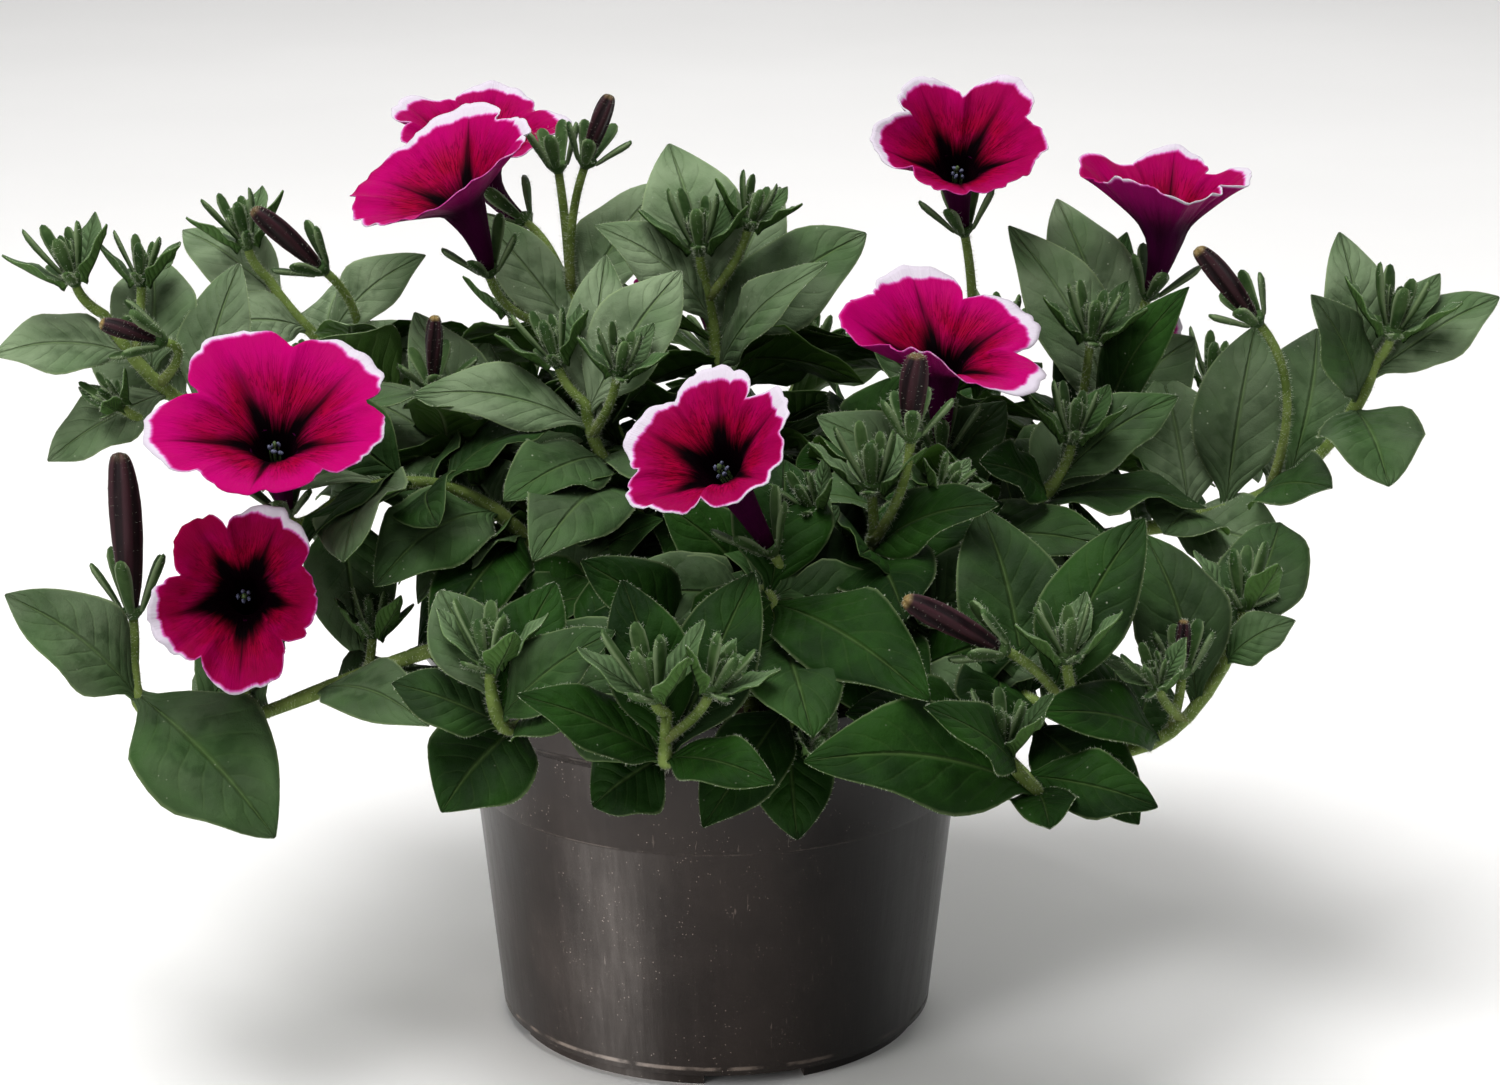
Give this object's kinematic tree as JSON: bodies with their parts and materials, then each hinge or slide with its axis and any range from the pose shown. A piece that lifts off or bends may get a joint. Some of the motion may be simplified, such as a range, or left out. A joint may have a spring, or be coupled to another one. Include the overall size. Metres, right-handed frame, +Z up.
{
  "type": "potted picotee petunia",
  "caption": "Bushy flowering petunia in a round plastic nursery pot, with trumpet blooms edged in white above spreading hairy stems and leaves.",
  "frame": {"origin": "the middle of the pot's underside, on the pot's axis, at the face that it stands on", "axes": "+Z up along the pot's axis, +X to the right of the plant's front, +Y to its back"},
  "size_m": [0.3689, 0.279, 0.231],
  "materials": {
    "pot_plastic": "glossy dark brown, lightly scuffed",
    "potting_mix": "matte, crumbly",
    "petals": "velvety magenta with a white margin and dark throat",
    "buds": "matte dark purple, hairy",
    "foliage": "matte grey-green, softly hairy"
  },
  "bodies": {
    "root": {"pot": "pot_plastic", "potting_mix": "potting_mix", "corolla_left_large": "petals", "corolla_left_small": "petals", "corolla_centre": "petals", "corolla_right_middle": "petals", "corolla_top_right": "petals", "corolla_right_side": "petals", "corolla_top_left_front": "petals", "corolla_top_left_back": "petals", "corolla_back": "petals", "corolla_back_right": "petals", "bud_left_tall": "buds", "bud_left_upper": "buds", "bud_left_back": "buds", "bud_top_left": "buds", "bud_centre_left": "buds", "bud_centre_right": "buds", "bud_right_upper": "buds", "bud_right_front": "buds", "bud_right_small": "buds", "stem_left_upper": "foliage", "stem_left_back": "foliage", "stem_left_middle": "foliage", "stem_left_lower": "foliage", "stem_top_left": "foliage", "stem_centre_left": "foliage", "stem_centre_bud": "foliage", "stem_top_centre": "foliage", "stem_top_right": "foliage", "stem_centre_front": "foliage", "stem_centre_right": "foliage", "stem_right_inner": "foliage", "stem_right_back": "foliage", "stem_right_small": "foliage", "stem_far_right": "foliage", "stem_right_lower": "foliage", "stem_front_right": "foliage", "stem_front": "foliage", "stem_front_left": "foliage", "stem_right_front": "foliage", "stem_front_inner": "foliage", "stem_back_left": "foliage", "stem_back": "foliage", "stem_back_right": "foliage", "stem_left_back_low": "foliage", "stem_right_back_low": "foliage"}
  },
  "joints": []
}
